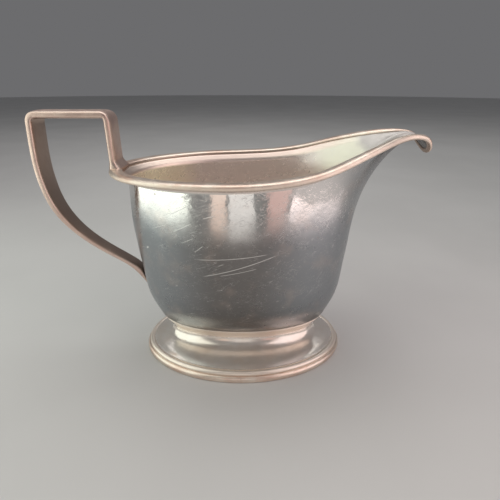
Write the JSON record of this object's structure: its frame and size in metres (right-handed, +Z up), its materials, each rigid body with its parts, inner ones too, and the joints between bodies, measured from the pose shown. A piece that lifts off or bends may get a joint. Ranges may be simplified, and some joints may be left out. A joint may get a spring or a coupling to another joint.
{
  "type": "cream jug",
  "caption": "Helmet-shaped oval silver-plated cream jug with a long curled pouring lip, moulded rim, square-topped strap handle and oval spreading foot.",
  "frame": {"origin": "on the surface the jug stands on, below the middle of its overall length and width", "axes": "+X from the handle towards the pouring lip, +Y towards the jug's left side, +Z up"},
  "size_m": [0.1418, 0.0648, 0.0968],
  "materials": {
    "bowl_silver": "polished silver plate with fine scratches and a grey haze low on the sides",
    "border_silver": "worn silver plate with warm base metal showing along the edges",
    "handle_silver": "worn silver plate with warm base metal showing",
    "foot_silver": "bright polished silver plate",
    "foot_border_silver": "worn silver plate, brighter on the high places"
  },
  "bodies": {
    "root": {"bowl": "bowl_silver", "rim_border": "border_silver", "handle": "handle_silver", "foot": "foot_silver", "foot_border": "foot_border_silver"}
  },
  "joints": []
}
